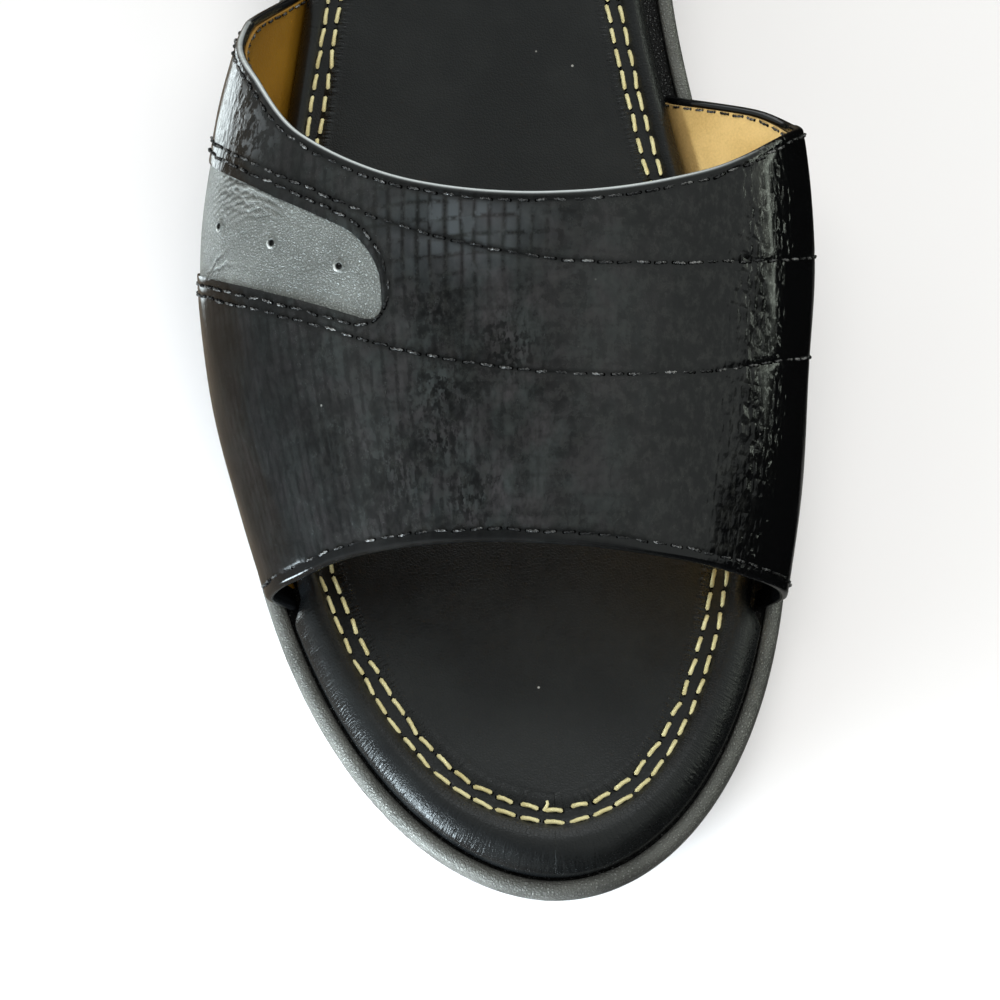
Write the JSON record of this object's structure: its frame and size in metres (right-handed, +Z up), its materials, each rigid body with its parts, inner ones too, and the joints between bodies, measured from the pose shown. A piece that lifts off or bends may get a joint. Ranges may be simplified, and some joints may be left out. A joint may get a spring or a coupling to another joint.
{
  "type": "wedge slide sandal",
  "caption": "Right-foot slip-on wedge slide sandal: broad patent strap with a side window panel, over a padded stitched footbed on a leather-wrapped platform wedge.",
  "frame": {"origin": "on the floor under the middle of the shoe's bounding box", "axes": "+Z up, +Y from toe to heel, +X towards the big toe side"},
  "size_m": [0.0985, 0.255, 0.0696],
  "materials": {
    "black_rubber": "matte",
    "pewter_leather": "metallic grained",
    "black_leather": "satin grained",
    "patent_leather": "glossy patent"
  },
  "bodies": {
    "root": {"outsole": "black_rubber", "wedge": "pewter_leather", "footbed": "black_leather", "upper": "patent_leather", "inset": "pewter_leather"}
  },
  "joints": []
}
